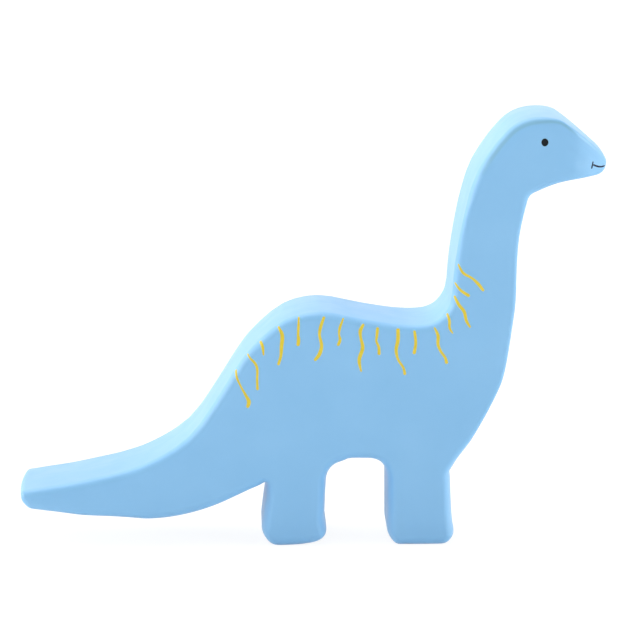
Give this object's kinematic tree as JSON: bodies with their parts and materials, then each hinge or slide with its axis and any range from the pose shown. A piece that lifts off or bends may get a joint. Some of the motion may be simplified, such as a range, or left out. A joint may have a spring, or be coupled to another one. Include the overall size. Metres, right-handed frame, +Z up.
{
  "type": "dinosaur teething toy",
  "caption": "Flat long-necked dinosaur teether of hollow moulded rubber, standing on its feet, with a sealed rattle capsule in the belly.",
  "frame": {"origin": "on the floor under the middle of the toy's box, between the soles' plane and the plane where the halves meet", "axes": "+X towards the head, +Y towards the animal's left side, +Z up"},
  "size_m": [0.1694, 0.028, 0.1258],
  "materials": {
    "painted_rubber": "satin light blue with painted marks",
    "plain_rubber": "satin natural",
    "capsule_plastic": "matte white",
    "bead_plastic": "gloss yellow"
  },
  "bodies": {
    "toy": {"right_body_half": "painted_rubber", "left_body_half": "painted_rubber", "vent_plug": "plain_rubber", "rattle_cup": "capsule_plastic", "rattle_lid": "capsule_plastic"},
    "bead_1": {"rattle_bead_1": "bead_plastic"},
    "bead_2": {"rattle_bead_2": "bead_plastic"},
    "bead_3": {"rattle_bead_3": "bead_plastic"},
    "bead_4": {"rattle_bead_4": "bead_plastic"},
    "bead_5": {"rattle_bead_5": "bead_plastic"},
    "bead_6": {"rattle_bead_6": "bead_plastic"},
    "bead_7": {"rattle_bead_7": "bead_plastic"}
  },
  "joints": [
    {"name": "bead_1_bounce", "type": "slide", "parent": "toy", "child": "bead_1", "axis": [0, 0, 1], "range_m": [0, 0.0132]},
    {"name": "bead_2_bounce", "type": "slide", "parent": "toy", "child": "bead_2", "axis": [0, 0, 1], "range_m": [0, 0.0132]},
    {"name": "bead_3_bounce", "type": "slide", "parent": "toy", "child": "bead_3", "axis": [0, 0, 1], "range_m": [0, 0.009]},
    {"name": "bead_4_bounce", "type": "slide", "parent": "toy", "child": "bead_4", "axis": [0, 0, 1], "range_m": [0, 0.0144]},
    {"name": "bead_5_bounce", "type": "slide", "parent": "toy", "child": "bead_5", "axis": [0, 0, 1], "range_m": [0, 0.009]},
    {"name": "bead_6_bounce", "type": "slide", "parent": "toy", "child": "bead_6", "axis": [0, 0, 1], "range_m": [0, 0.0132]},
    {"name": "bead_7_bounce", "type": "slide", "parent": "toy", "child": "bead_7", "axis": [0, 0, 1], "range_m": [0, 0.0132]}
  ]
}
